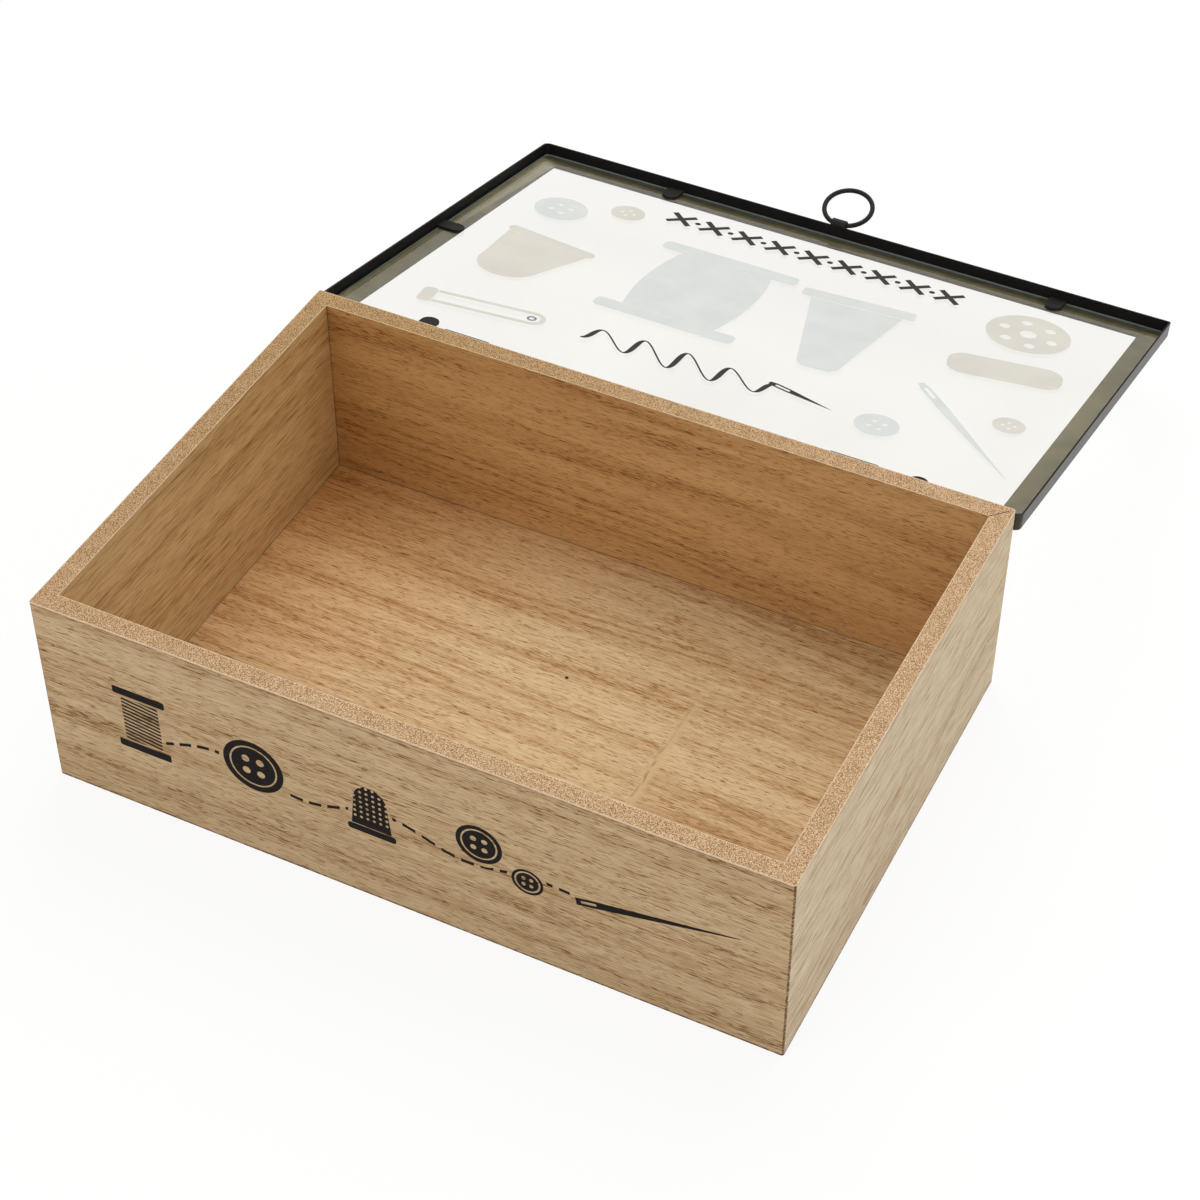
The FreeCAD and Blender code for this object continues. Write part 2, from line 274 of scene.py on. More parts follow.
def boardFinish(name, lengthAlongX, outside, seed, printing=None, openMitre=False, chip=None):
    finish = newFinish(name)
    x, y, z = finish.place()
    along, through = (x, y) if lengthAlongX else (y, x)
    halfAlong, halfThrough = (halfLength, halfDepth) if lengthAlongX else (halfDepth, halfLength)
    depth = halfThrough - through.size()          # 0 on the outer face
    end = halfAlong - along.size()                # distance from the corner of the box
    upright = finish.facing()[2].size().ramp(0.6, 0.4)
    outer = depth.ramp(boardLook["foilDepth"], boardLook["foilDepth"] - 0.1) * upright
    innerFrom = boardThickness - boardLook["innerDepth"]
    inner = depth.ramp(innerFrom - 0.1, innerFrom) * upright
    covered = outer.most(inner)
    outerColour, outerHeight = grain(finish, along, z, foil[outside], seed)
    inside = foil["inside" if lengthAlongX else "insideEnd"]
    innerColour, innerHeight = grain(finish, along, z, inside, seed + 50.0)
    # Painted shade deepens the inner foil towards the back left corner
    innerColour = finish.shade(paintedCornerShade(x, y, grainLook["paintedShadeReach"]), innerColour, inside["paintedCornerShade"])
    rawColour, rawHeight = rawBoard(finish, x, y, z)
    # Painted highlights: a pale line along both edges of the rim, where the edges would round and catch the
    # light
    wide = edgeLook["rimHighlightWidth"]
    rimHighlight = depth.least(boardThickness - depth).ramp(wide, wide * 0.4) * (1.0 - upright)
    rawColour = finish.mix(rimHighlight * edgeLook["rimHighlightShare"], rawColour, edgeLook["pale"])
    half = edgeLook["gapHalf"]
    if openMitre:
        # The mitre at the back right corner stands open, all but its outer end
        mitre = (end - depth).size().ramp(half + 0.1, half - 0.05) * depth.ramp(*edgeLook["mitreFrom"])
        rawColour = finish.mix(mitre * along.ramp(0.0, 1.0) * (1.0 - upright), rawColour, edgeLook["gap"])
    # Worn foil along the outer edges: dark at the corners and the foot. Also a thin dark line just under the
    # top edge, and above it a pale lip that is a painted highlight
    rub = streaks(finish, along, z, edgeLook["rubSize"], seed + 31.0, 1.0).ramp(0.38, 0.56)
    corner = end.ramp(edgeLook["cornerReach"], edgeLook["cornerReach"] * 0.7)
    foot = z.ramp(edgeLook["footReach"], edgeLook["footReach"] * 0.6)
    overLip = z - (boxHeight - edgeLook["lip"])
    # The pale lip at the top of the outer face is a painted highlight
    outerColour = finish.mix(overLip.ramp(0.15, 0.4) * edgeLook["lipHighlightShare"], outerColour, edgeLook["pale"])
    under = overLip.size().ramp(edgeLook["underHalf"], 0.1)
    worn = (corner.most(foot) * (0.35 + rub * 0.6)).most(under * (0.25 + rub * 0.5))
    outerColour = finish.mix(worn, outerColour, edgeLook["line"])
    if printing:
        inked = printing(along, z) * (1.0 - outerHeight.ramp(-0.05, -0.35) * 0.2)
        outerColour = finish.mix(inked, outerColour, printLook["ink"])
    if chip:
        outerColour = finish.mix(discGap(along, z, chip, 0.5).ramp(0.3, -0.1), outerColour, edgeLook["pale"])
    # A dark gap shows along the floor and down the inner corners
    gap = (z - (floorTop + half)).size().least((end - (boardThickness + half)).size() + half * 0.6)
    gap = gap.ramp(half + 0.1, half - 0.1) * edgeLook["gapShare"]
    innerColour = finish.mix(gap, innerColour, edgeLook["gap"])
    colour = finish.mix(outer, finish.mix(inner, rawColour, innerColour), outerColour)
    height = rawHeight * (1.0 - covered) * boardLook["rawRelief"] + outerHeight * outer + innerHeight * inner
    rough = boardLook["rawRough"] - covered * (boardLook["rawRough"] - boardLook["foilRough"])
    return finish.surface({"Base Color": colour, "Roughness": rough, "Specular IOR Level": boardLook["shine"],
                           "Normal": finish.bump(height, boardLook["relief"] * mm)})


# Printed row on the front: a spool, a thread in stitches that runs past buttons and a thimble, and a needle.
# Each ink function gives the distance to its shape, below 0 on the ink. u is to the right and v upwards

printLook = {
    "ink": tint(15, 11, 8), "soft": 0.09,
    "buttons": ((-62.0, 48.0, 13.0), (33.0, 52.5, 9.5), (52.5, 42.0, 6.5)),
    "spool": {"place": (-111.0, 48.0), "rimAt": 14.2, "rim": (11.5, 1.9), "winding": (8.2, 11.2),
              "pitch": 1.9, "slant": 0.12, "lineHalf": 0.22},
    "thimble": {"place": (-12.0, 47.0), "half": 8.2, "middleHalf": 7.6, "taper": 0.1, "domeAt": -4.0,
                "domeHalf": 17.0, "domeRound": 6.8, "domeFrom": -8.6, "foot": (10.2, 1.7), "footAt": -10.6,
                "dimple": 0.62, "pitch": 2.7, "dimplesFrom": -5.4},
    "needle": {"from": (72.0, 42.0), "to": (136.0, 55.0), "half": 1.9, "taper": 1.7, "eye": (3.2, 0.6),
               "eyeAt": 5.2},
    "thread": {"half": 0.8, "stitch": 8.0, "stitchHalf": 0.34, "level": 44.0, "high": 4.4, "wave": 11.5,
               "waveFrom": -96.0, "calmAt": 78.0, "calmOver": 60.0, "start": 8.0, "stop": 6.0, "clear": 1.8},
}


def discGap(u, v, place, radius):
    du, dv = u - place[0], v - place[1]
    return (du * du + dv * dv).root() - radius


def boxGap(u, v, place, half, rounding):
    du = ((u - place[0]).size() - (half[0] - rounding)).most(0.0)
    dv = ((v - place[1]).size() - (half[1] - rounding)).most(0.0)
    return (du * du + dv * dv).root() - rounding


def buttonInk(u, v, place, radius):
    # A disc with a thin pale ring inside its rim and four holes
    rim = discGap(u, v, place, radius)
    spread = radius * 0.24
    ring = (rim + spread).size() - 0.35
    hole = discGap((u - place[0]).size(), (v - place[1]).size(), (spread, spread), radius * 0.13)
    return rim.most(0.0 - ring).most(0.0 - hole)


def spoolInk(u, v):
    look = printLook["spool"]
    su, sv = look["place"]
    rims = boxGap(u, (v - sv).size(), (su, look["rimAt"]), look["rim"], 0.8)
    winding = boxGap(u, v, (su, sv), look["winding"], 1.2)
    turn = (((v - sv) + (u - su) * look["slant"]) / look["pitch"]).part()
    return rims.least(winding.most(look["lineHalf"] - (turn - 0.5).size()))


def thimbleInk(u, v):
    # It has a domed top, widens to a rolled foot, and has rows of dimples
    look = printLook["thimble"]
    tu, tv = look["place"]
    half, pitch = look["half"], look["pitch"]
    swell = half / (look["middleHalf"] - (v - tv) * look["taper"])
    domePlace, domeHalf = (0.0, tv + look["domeAt"]), (half, look["domeHalf"])
    dome = boxGap((u - tu) * swell, v, domePlace, domeHalf, look["domeRound"])
    dome = dome.most((tv + look["domeFrom"]) - v)
    foot = boxGap(u, v, (tu, tv + look["footAt"]), look["foot"], 1.2)
    dimpleU = (((u - tu) / pitch).part() - 0.5) * pitch
    dimpleV = (((v - tv) / pitch).part() - 0.5) * pitch
    dimple = discGap(dimpleU, dimpleV, (0.0, 0.0), look["dimple"]).most((tv + look["dimplesFrom"]) - v)
    return dome.most(0.0 - dimple).least(foot)


def needleInk(u, v):
    # It is thickest at its eye and runs out to a point
    look = printLook["needle"]
    (nu, nv), (mu, mv) = look["from"], look["to"]
    length = math.hypot(mu - nu, mv - nv)
    cu, cv = (mu - nu) / length, (mv - nv) / length
    alongNeedle = (u - nu) * cu + (v - nv) * cv
    offNeedle = ((v - nv) * cu - (u - nu) * cv).size()
    width = look["half"] - (alongNeedle / length).ramp(0.1, 1.0) * look["taper"]
    body = (offNeedle - width).most(0.0 - alongNeedle).most(alongNeedle - length)
    return body.most(0.0 - boxGap(alongNeedle, offNeedle, (look["eyeAt"], 0.0), look["eye"], 0.5))


def threadInk(u, v):
    # It leaves the spool, runs in stitches that grow calm, and ends in the needle's eye
    look = printLook["thread"]
    calm = (u - look["calmAt"]).ramp(0.0, -look["calmOver"])
    height = look["level"] + ((u - look["waveFrom"]) / look["wave"]).wave() * look["high"] * calm
    line = (v - height).size() - look["half"]
    line = line.most((printLook["spool"]["place"][0] + look["start"]) - u)
    line = line.most(u - (printLook["needle"]["from"][0] + look["stop"]))
    stitched = ((u / look["stitch"]).part() - 0.5).size() - look["stitchHalf"]
    return line.most(stitched * look["stitch"])


def frontPrint(u, v):
    # 1 on the ink. The thread stops short of what it passes
    gap = spoolInk(u, v).least(thimbleInk(u, v)).least(needleInk(u, v))
    for cu, cv, radius in printLook["buttons"]:
        gap = gap.least(buttonInk(u, v, (cu, cv), radius))
    gap = gap.least(threadInk(u, v).most(printLook["thread"]["clear"] - gap))
    return gap.ramp(printLook["soft"], -printLook["soft"])


wear("front_panel", boardFinish("frontBoard", True, "front", 2.0, frontPrint))
wear("back_panel", boardFinish("backBoard", True, "front", 14.0, openMitre=True))
wear("left_panel", boardFinish("leftBoard", False, "side", 26.0))
wear("right_panel", boardFinish("rightBoard", False, "side", 38.0, openMitre=True, chip=(90.5, 34.2)))

floorLook = {"splice": 54.6, "spliceEnd": 27.0, "ragged": 2.1, "faded": (2.6, 0.9), "fadedShare": 0.75,
             "line": tint(168, 122, 78), "lineAt": -1.0, "lineHalf": (0.9, 0.2), "lineShare": 0.75,
             "speck": tint(44, 28, 16), "specks": ((1.6, 25.4, 0.7, 1.0), (-93.0, 60.6, 0.45, 0.2)),
             "seed": 70.0, "rough": 0.62, "shine": 0.15, "relief": 0.05}


def floorFinish():
    finish = newFinish("floorBoard")
    x, y, z = finish.place()
    look, board = floorLook, foil["floor"]
    # The foil is spliced: its grain fades out beside an uneven line, up to where the repair stops
    ragged = (finish.noise(x / 3.0, y / 9.0, 90.0, 1.0) - 0.5) * look["ragged"]
    off = x + ragged - look["splice"]
    within = (y - look["spliceEnd"]).ramp(12.0, -4.0)
    beyond = off.ramp(-0.1, 0.1) * within.ramp(0.45, 0.55)
    colour, height = grain(finish, x, y, board, beyond * 9.0 + look["seed"])
    faded = off.size().ramp(*look["faded"]) * within
    colour = finish.mix(faded * look["fadedShare"], colour, finish.mix(0.3, board["pale"], board["dark"]))
    broken = finish.noise(x / 2.0, y / 6.0, 97.0, 1.0).ramp(0.42, 0.6)
    line = (off - look["lineAt"]).size().ramp(*look["lineHalf"]) * within * broken
    colour = finish.mix(line * look["lineShare"], colour, look["line"])
    # Painted shade deepens the floor foil towards the back left corner
    colour = finish.shade(paintedCornerShade(x, y, grainLook["paintedShadeReach"]), colour, board["paintedCornerShade"])
    for u, v, radius, flat in look["specks"]:
        speck = discGap(x * flat, y, (u * flat, v), radius).ramp(0.25, -0.1)
        colour = finish.mix(speck * (0.5 + flat * 0.5), colour, look["speck"])
    rawColour, rawHeight = rawBoard(finish, x, y, z)
    top = finish.facing()[2].ramp(0.4, 0.6)
    height = height * top + rawHeight * (1.0 - top)
    return finish.surface({"Base Color": finish.mix(top, rawColour, colour), "Roughness": look["rough"],
                           "Specular IOR Level": look["shine"],
                           "Normal": finish.bump(height, look["relief"] * mm)})


wear("bottom_panel", floorFinish())
print("stage: boards finished")

# Metal

metalLook = {"black": tint(12, 10, 7), "worn": tint(34, 30, 23), "olive": tint(117, 109, 79),
             "oliveDark": tint(97, 90, 64), "outer": tint(54, 47, 30), "outerDark": tint(34, 30, 20),
             "shadow": tint(46, 44, 36), "shadowReach": 5.2, "shine": 0.15, "gloss": 0.5, "glossRough": 0.28,
             "rough": 0.5, "relief": 0.02}


def lidPlace(finish):
    # Coordinates and normal of the closed lid, in millimetres
    x, y, z = finish.place()
    nx, ny, nz = finish.facing()
    turn = lidTurn.inverted()
    (a, b, c), (d, e, f) = ((turn[row][1], turn[row][2], turn[row][3] / mm) for row in (1, 2))
    return (x, y * a + z * b + c, y * d + z * e + f), (nx, ny * a + nz * b, ny * d + nz * e)


def frameFinish():
    # Black walls; the flange under the pane olive, partly its own paint and partly painted reflection; the
    # outside glossier and painted lighter as painted light
    finish = newFinish("frameMetal")
    (x, y, z), (nx, ny, nz) = lidPlace(finish)
    blotch = finish.noise(x / 14.0, y / 14.0, z / 14.0, 3.0, 0.6)
    fine = finish.noise(x / 0.8, y / 0.8, z / 0.8, 2.0)
    flangeToneAndReflection = nz.ramp(-0.5, -0.8) * z.ramp(boxHeight, boxHeight + 1.0)
    mottle = blotch.ramp(0.35, 0.65) * 0.7 + fine.ramp(0.4, 0.6) * 0.3
    olive = finish.mix(mottle, metalLook["olive"], metalLook["oliveDark"])
    # Painted shadow and reflection of the front wall: the flange is darkest beside it
    shadow = (y + halfDepth - metalLook["shadowReach"]).ramp(0.8, -0.8) * 0.8
    olive = finish.mix(shadow, olive, metalLook["shadow"])
    black = finish.mix(fine.ramp(0.5, 0.8) * 0.5, metalLook["black"], metalLook["worn"])
    # Faces that look away from the middle of the lid, or up. They get a lighter colour, which is painted
    # light, and a glossy coat
    outside = (nx * x).most(ny * y).ramp(60.0, 90.0).most(nz.ramp(0.5, 0.8))
    outer = finish.mix(blotch.ramp(0.3, 0.7), metalLook["outer"], metalLook["outerDark"])
    colour = finish.mix(flangeToneAndReflection, finish.mix(outside, black, outer), olive)
    return finish.surface({"Base Color": colour, "Roughness": metalLook["rough"] + blotch * 0.15,
                           "Specular IOR Level": metalLook["shine"],
                           "Coat Weight": outside * metalLook["gloss"],
                           "Coat Roughness": metalLook["glossRough"],
                           "Normal": finish.bump(fine, metalLook["relief"] * mm)})


def darkMetal(name, pale, rough):
    finish = newFinish(name)
    x, y, z = finish.place()
    fine = finish.noise(x / 0.6, y / 0.6, z / 0.6, 3.0)
    patch = finish.noise(x / 4.0, y / 4.0, z / 4.0)
    mottle = fine.ramp(0.45, 0.85) * 0.6 + patch.ramp(0.4, 0.8) * 0.3
    return finish.surface({"Base Color": finish.mix(mottle, metalLook["black"], pale),
                           "Roughness": rough + patch * 0.15, "Specular IOR Level": 0.14,
                           "Normal": finish.bump(fine, metalLook["relief"] * mm)})


wear("lid_frame", frameFinish())
tabMetal = darkMetal("tabMetal", tint(44, 38, 28), 0.55)
pullMetal = darkMetal("pullMetal", tint(48, 44, 38), 0.38)
hingeMetal = darkMetal("hingeMetal", tint(48, 44, 38), 0.5)
steel = darkMetal("pinSteel", tint(96, 94, 90), 0.35)
for name in frame["nodes"]:
    if name.startswith("glass_tab"):
        wear(name, tabMetal)
    elif name.startswith(("ring_strap", "pull_ring")):
        wear(name, pullMetal)
    elif name.startswith(("hinge_pin", "hinge_screws")):
        wear(name, steel)
    elif name.startswith("hinge"):
        wear(name, hingeMetal)
print("stage: metal finished")

# Glass

glassLook = {"tint": (0.915, 0.907, 0.872, 1.0), "shadow": (0.93, 0.95, 0.94, 1.0), "bend": 1.32,
             "edge": tint(112, 124, 122)}


def glassFinish():
    finish = newFinish("paneGlass")
    glass = finish.node("ShaderNodeBsdfPrincipled", (),
                        {"Base Color": glassLook["tint"], "Roughness": 0.0, "IOR": glassLook["bend"],
                         "Transmission Weight": 1.0})
    clear = finish.node("ShaderNodeBsdfTransparent", (), {"Color": glassLook["shadow"]})
    shadow = finish.node("ShaderNodeLightPath", out="Is Shadow Ray")
    pane = finish.node("ShaderNodeMixShader", (), {0: shadow, 1: glass, 2: clear})
    # The edges of the pane are ground, so they show pale
    ground = finish.node("ShaderNodeBsdfDiffuse", (), {"Color": glassLook["edge"]})
    edge = lidPlace(finish)[1][2].size().ramp(0.6, 0.4)
    finish.out(finish.node("ShaderNodeMixShader", (), {0: edge, 1: pane, 2: ground}))
    return finish.owner


wear("lid_glass", glassFinish())
print("stage: glass finished")

# Print on the inner face of the pane, drawn on the closed lid, in millimetres: u to the right and v to the
# hinges. It is made to be seen from above, through the glass: each motif has dark lines, and a pale shape
# that backs them, which is all that shows from inside

paneUnder = min((lidTurn.inverted() @ corner.co).z for corner in frame["nodes"]["lid_glass"].data.vertices)
ink = {"gap": 0.02, "thick": 0.05, "pitch": 0.06, "steps": 40, "mottle": 16.0, "rough": 0.55, "shine": 0.15,
       "silver": tint(206, 209, 205), "stone": tint(206, 202, 191), "lines": tint(112, 124, 132),
       "black": tint(38, 34, 26)}


def arc(place, radius, start, stop, steps=None):
    steps = steps or ink["steps"]
    turns = [math.radians(start + (stop - start) * step / steps) for step in range(steps + 1)]
    return [(place[0] + radius * math.cos(turn), place[1] + radius * math.sin(turn)) for turn in turns]


def disc(place, radius, steps=None):
    return arc(place, radius, 0.0, 360.0, steps)[:-1]


def roundBox(place, half, radius):
    (u, v), (a, b) = place, (half[0] - radius, half[1] - radius)
    corners = ((a, b, 0.0), (-a, b, 90.0), (-a, -b, 180.0), (a, -b, 270.0))
    return [point for du, dv, start in corners
            for point in arc((u + du, v + dv), radius, start, start + 90.0, 8)]


def stroke(path, wide):
    # The outline of a line along a path. wide takes the share of the path, 0 to 1, and gives the line's width
    left, right = [], []
    for step, (u, v) in enumerate(path):
        (u0, v0), (u1, v1) = path[max(step - 1, 0)], path[min(step + 1, len(path) - 1)]
        length = math.hypot(u1 - u0, v1 - v0)
        half = wide(step / (len(path) - 1)) / 2.0
        du, dv = -(v1 - v0) / length * half, (u1 - u0) / length * half
        left.append((u + du, v + dv))
        right.append((u - du, v - dv))
    return left + right[::-1]


def moved(loops, place, angle=0.0):
    cosine, sine = math.cos(math.radians(angle)), math.sin(math.radians(angle))
    return [[(place[0] + u * cosine - v * sine, place[1] + u * sine + v * cosine) for u, v in loop]
            for loop in loops]


def printFinish(name, colour):
    finish = newFinish(name)
    x, y, z = (axis / ink["mottle"] for axis in finish.place())
    deeper = tuple(c * 0.93 for c in colour[:3]) + (1.0,)
    colour = finish.mix(finish.noise(x, y, z).ramp(0.3, 0.7), colour, deeper)
    return finish.surface({"Base Color": colour, "Roughness": ink["rough"],
                           "Specular IOR Level": ink["shine"]})


def printShape(name, loops, layer, finish):
    # A thin closed layer of ink, 0 next to the pane. Loops inside a loop are holes in it
    curve = bpy.data.curves.new(name, "CURVE")
    curve.dimensions = "2D"
    curve.fill_mode = "BOTH"
    curve.extrude = ink["thick"] / 2 * mm
    for loop in loops:
        spline = curve.splines.new("POLY")
        spline.points.add(len(loop) - 1)
        spline.use_cyclic_u = True
        for point, (u, v) in zip(spline.points, loop):
            point.co = (u * mm, v * mm, 0.0, 1.0)
    drawn = bpy.data.objects.new(name + "_outline", curve)
    mesh = bpy.data.meshes.new_from_object(drawn)
    bpy.data.objects.remove(drawn)
    level = paneUnder - (ink["gap"] + ink["thick"] / 2 + ink["pitch"] * layer) * mm
    made = bmesh.new()
    made.from_mesh(mesh)
    bmesh.ops.remove_doubles(made, verts=made.verts, dist=1e-6)
    bmesh.ops.transform(made, matrix=lidTurn @ Matrix.Translation((0.0, 0.0, level)), verts=made.verts)
    bmesh.ops.recalc_face_normals(made, faces=made.faces)
    made.to_mesh(mesh)
    made.free()
    mesh.materials.clear()
    mesh.materials.append(finish)
    piece = bpy.data.objects.new(name, mesh)
    bpy.context.scene.collection.objects.link(piece)
    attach(piece, "lid")


def spoolMotif(half, tall, drum):
    # Two rims, and between them a winding that bulges
    rim, bulge, slant, count = 4.2, 3.4, 1.6, 13
    side = tall - 2 * rim - 0.6
    shares = [2 * step / (count - 1) - 1 for step in range(count)]
    edge = [(drum + bulge * (1 - share ** 2), side * share) for share in shares]
    winding = edge + [(-u, v) for u, v in edge[::-1]]
    shape = [roundBox((0, v), (half, rim), 2.6) for v in (tall - rim, rim - tall)] + [winding]
    lines = [stroke([(-drum, v - slant), (drum, v + slant)], lambda share: 0.7)
             for v in ((side - 3.0) * share for share in shares)]
    lines += [stroke([(-half + 4, v), (half - 4, v)], lambda share: 0.6) for v in (tall - rim, rim - tall)]
    return shape, lines


def coneMotif(top, foot, tall):
    # A cone of thread, wound crosswise, on a low base
    cut, count = 3.0, 10
    side = [(foot, -tall), (top, tall - cut), (top - cut, tall)]
    shape = [side + [(-u, v) for u, v in side[::-1]], roundBox((0, -tall - 5.0), (foot + 5.0, 3.8), 1.6)]
    lines = []
    for step in range(count):
        v = -tall + 5 + (2 * tall - 12) * step / (count - 1)
        wide = foot + (top - foot) * (v + tall) / (2 * tall) - 2.5
        tilt = 3.0 if step % 2 else -3.0
        lines.append(stroke([(-wide, v - tilt * 0.5), (wide, v + tilt * 0.5)], lambda share: 0.7))
    return shape, lines


def thimbleMotif(foot, tall):
    # A dome over a rolled foot, with rows of dimples
    top, roll, dimple, rows = foot * 0.72, 2.8, 1.15, 6
    dome = arc((0, tall - top), top, 0.0, 180.0)
    shape = [[(foot, -tall + 6.2), *dome, (-foot, -tall + 6.2)],
             roundBox((0, -tall + roll), (foot + 2.0, roll), 2.6)]
    dots = []
    for step in range(rows):
        v = -tall + 12 + step * 5.2
        reach = (foot * (1 - 0.28 * (v + tall) / (2 * tall)) - 3.0) * 0.92
        count = 6 - step % 2
        dots += [disc((reach * (2 * dot / (count - 1) - 1), v), dimple, 16) for dot in range(count)]
    return shape, dots


def buttonMotif(radius):
    spread = radius * 0.26
    holes = [disc((a * spread, b * spread), radius * 0.13, 16) for a in (-1, 1) for b in (-1, 1)]
    return [disc((0, 0), radius)] + holes, [disc((0, 0), radius * 0.8), disc((0, 0), radius * 0.72)]


def bobbinMotif(radius):
    # A flange with six holes round its bore
    holes = arc((0, 0), radius * 0.62, 0.0, 360.0, 6)[:-1]
    shape = [disc((0, 0), radius), disc((0, 0), radius * 0.2)]
    shape += [disc(hole, radius * 0.13, 20) for hole in holes]
    return shape, [disc((0, 0), radius * share) for share in (0.93, 0.88, 0.38, 0.33)]


def skeinMotif(half, tall):
    # A skein of thread held by two paper bands
    shape = [roundBox((0, 0), (half, tall), tall * 0.8)]
    band = half * 0.5
    lines = [roundBox((side * band, 0), (3.4, tall - 0.6), 0.4) for side in (-1, 1)]
    for row in range(5):
        v = (row - 2) * tall * 0.36
        for u0, u1 in ((-half + 5, -band - 4.4), (-band + 4.4, band - 4.4), (band + 4.4, half - 5)):
            lines.append(stroke([(u0, v * 0.8), ((u0 + u1) / 2, v), (u1, v * 0.8)], lambda share: 0.55))
    return shape, lines


def needleMotif(length, wide):
    body = [(0.0, wide * 0.3), (wide, wide * 0.5), (length * 0.3, wide * 0.5), (length, 0.0),
            (length * 0.3, -wide * 0.5), (wide, -wide * 0.5), (0.0, -wide * 0.3)]
    return [body, roundBox((wide * 2.0, 0.0), (wide * 1.1, wide * 0.2), wide * 0.18)], []


def pinMotif(half, tall):
    # A closed safety pin: a wire with a coil at one end and a cap at the other
    coil = (-half + tall, 0)
    wire = [(half - 9, tall), (coil[0], tall)] + arc(coil, tall, 90.0, 270.0, 20)[1:] + [(half - 9, -tall)]
    shape = [stroke(wire, lambda share: 2.2), roundBox((half - 5.4, 0), (3.2, tall + 2.0), 2.4)]
    return shape, [disc(coil, 2.2, 20), disc(coil, 1.2, 20)]


# Each motif: what is drawn, its place, its turn in degrees and its colour
motifs = {
    "spool": (spoolMotif(33.0, 41.0, 22.0), (-32.0, -9.0), 0.0, "silver"),
    "cone": (coneMotif(9.0, 21.0, 34.0), (36.0, -4.0), -6.0, "silver"),
    "thimble": (thimbleMotif(21.0, 25.0), (-110.0, 8.0), 8.0, "stone"),
    "pin": (pinMotif(29.0, 5.0), (-102.0, 66.0), 172.0, "stone"),
    "bobbin": (bobbinMotif(19.0), (105.0, -62.0), 10.0, "stone"),
    "skein": (skeinMotif(25.0, 10.0), (108.0, -20.0), -12.0, "stone"),
    "needle": (needleMotif(84.0, 4.6), (82.0, 14.0), 46.0, "silver"),
    "button_near": (buttonMotif(12.5), (-120.0, -50.0), 20.0, "silver"),
    "button_middle": (buttonMotif(8.0), (-93.0, -66.0), 45.0, "stone"),
    "button_far": (buttonMotif(9.5), (80.0, 62.0), 10.0, "silver"),
    "button_side": (buttonMotif(7.0), (126.0, 28.0), 30.0, "stone"),
}

inkFinish = {colour: printFinish("ink" + colour.title(), ink[colour]) for colour in
             ("silver", "stone", "lines", "black")}
for name, (drawn, place, turn, colour) in motifs.items():
    shape, lines = (moved(loops, place, turn) for loops in drawn)
    printShape("print_" + name, shape, 1, inkFinish[colour])
    if lines:
        printShape("print_" + name + "_lines", lines, 0, inkFinish["lines"])

# Two dark rows: cross stitches by the front, and a wavy thread with its needle by the hinges
crossRow = {"from": -70.0, "count": 9, "pitch": 16.6, "place": -76.0, "half": 6.4, "wide": 2.7, "dot": 1.4}


def crossMotif(half, wide):
    w = wide / math.sqrt(2)
    return [[(0, w), (half - w, half), (half, half - w), (w, 0), (half, w - half), (half - w, -half), (0, -w),
             (w - half, -half), (-half, w - half), (-w, 0), (-half, half - w), (w - half, half)]]


crosses = []
for step in range(crossRow["count"]):
    place = (crossRow["from"] + step * crossRow["pitch"], crossRow["place"])
    crosses += moved(crossMotif(crossRow["half"], crossRow["wide"]), place)
    if step + 1 < crossRow["count"]:
        crosses.append(disc((place[0] + crossRow["pitch"] / 2, place[1]), crossRow["dot"], 16))
printShape("print_cross_stitches", crosses, 0, inkFinish["black"])

wavyThread = {"from": -56.0, "to": 34.0, "place": 60.0, "waves": 4.5, "high": 9.0, "slant": 0.4, "steps": 180,
              "thin": 0.8, "swell": 1.7, "needleTurn": 14.0}


def threadPoint(share):
    # A wave that is highest in the middle and leans to the right
    high = wavyThread["high"] * (0.55 + 0.45 * math.sin(math.pi * share))
    high *= math.cos(math.tau * wavyThread["waves"] * share)
    u = wavyThread["from"] + (wavyThread["to"] - wavyThread["from"]) * share
    return (u + high * wavyThread["slant"], wavyThread["place"] + high)


def threadWidth(share):
    # Thick on its way down and thin on its way up
    down = max(0.0, math.sin(math.tau * wavyThread["waves"] * share))
    return wavyThread["thin"] + wavyThread["swell"] * down


threadPath = [threadPoint(step / wavyThread["steps"]) for step in range(wavyThread["steps"] + 1)]
threadEnd = threadPath[-1]
tip = moved(needleMotif(32.0, 3.4)[0], (threadEnd[0] - 3.0, threadEnd[1] - 1.0), wavyThread["needleTurn"])
printShape("print_thread", [stroke(threadPath, threadWidth)], 0, inkFinish["black"])
printShape("print_thread_needle", tip, 1, inkFinish["black"])
print("stage: print laid on the pane")

# Studio

studio = {"floorWhite": tint(246, 245, 242), "floorGlow": 0.88, "worldLight": 0.6, "groundReach": 6.0,
          "groundAt": -0.0002,
          "key": {"place": (-0.15, 0.9, 1.45), "aim": (0.0, -0.05, 0.04), "wide": 1.4, "power": 15.0},
          "side": {"place": (1.5, 0.1, 0.75), "aim": (0.0, 0.0, 0.04), "wide": 0.8, "power": 5.0},
          "fill": {"place": (-0.5, -1.3, 1.0), "aim": (0.0, 0.0, 0.05), "wide": 1.2, "power": 7.0}}


def lamp(name, look):
    data = bpy.data.lights.new(name, "AREA")
    data.size = look["wide"]
    data.energy = look["power"]
    made = bpy.data.objects.new(name, data)
    place = Vector(look["place"])
    turn = (place - Vector(look["aim"])).to_track_quat("Z", "Y")
    made.matrix_world = Matrix.Translation(place) @ turn.to_matrix().to_4x4()
    bpy.context.scene.collection.objects.link(made)


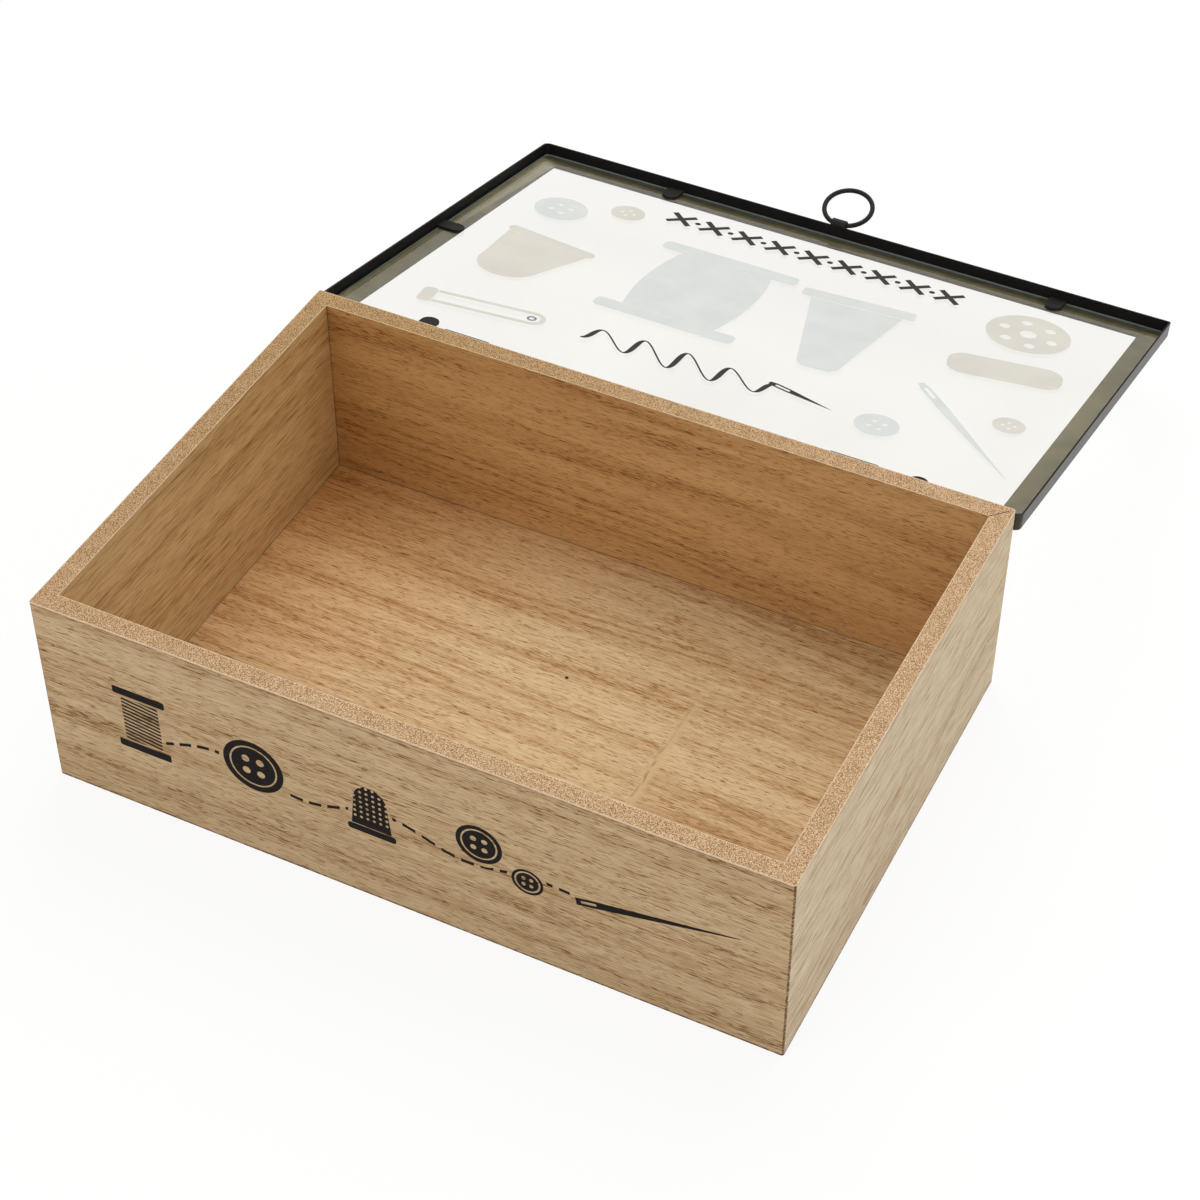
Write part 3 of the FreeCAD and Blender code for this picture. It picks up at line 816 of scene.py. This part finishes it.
def seenRays(finish):
    # 1 for what the camera sees, straight, mirrored or through glass
    straight, mirrored, through = (finish.node("ShaderNodeLightPath", out="Is " + kind + " Ray")
                                   for kind in ("Camera", "Glossy", "Transmission"))
    return straight.most(mirrored).most(through)


world = Finish(bpy.data.worlds.new("studio"))
bpy.context.scene.world = world.owner
level = seenRays(world) * (1.0 - studio["worldLight"]) + studio["worldLight"]
sky = world.node("ShaderNodeBackground", (), {"Color": (1, 1, 1, 1), "Strength": level})
world.out(sky, "ShaderNodeOutputWorld")

ground = bpy.data.meshes.new("ground")
reach, under = studio["groundReach"], studio["groundAt"]
corners = [(a * reach, b * reach, under) for a, b in ((-1, -1), (1, -1), (1, 1), (-1, 1))]
ground.from_pydata(corners, [], [(0, 1, 2, 3)])
groundObject = bpy.data.objects.new("ground", ground)
bpy.context.scene.collection.objects.link(groundObject)
paper = newFinish("paper")
matte = paper.node("ShaderNodeBsdfDiffuse", (), {"Color": studio["floorWhite"]})
glow = paper.node("ShaderNodeEmission", (), {"Color": (1, 1, 1, 1), "Strength": 1.0})
share = seenRays(paper) * studio["floorGlow"]
paper.out(paper.node("ShaderNodeMixShader", (), {0: share, 1: matte, 2: glow}))
ground.materials.append(paper.owner)

for lampName in ("key", "side", "fill"):
    lamp(lampName, studio[lampName])

# Camera, as the photograph was taken

view = {"place": (0.36595, -0.68410, 0.80855), "azimuth": 26.224, "elevation": 43.623, "roll": 0.215,
        "lens": 83.83, "sensor": 36.0}
cameraData = bpy.data.cameras.new("camera")
cameraData.lens = view["lens"]
cameraData.sensor_width = view["sensor"]
camera = bpy.data.objects.new("camera", cameraData)
camera.matrix_world = (Matrix.Translation(Vector(view["place"]))
                       @ Matrix.Rotation(math.radians(view["azimuth"]), 4, "Z")
                       @ Matrix.Rotation(math.radians(90.0 - view["elevation"]), 4, "X")
                       @ Matrix.Rotation(math.radians(view["roll"]), 4, "Z"))
bpy.context.scene.collection.objects.link(camera)
bpy.context.scene.camera = camera
bpy.context.scene.view_settings.view_transform = "Standard"
print("stage: studio and camera ready")
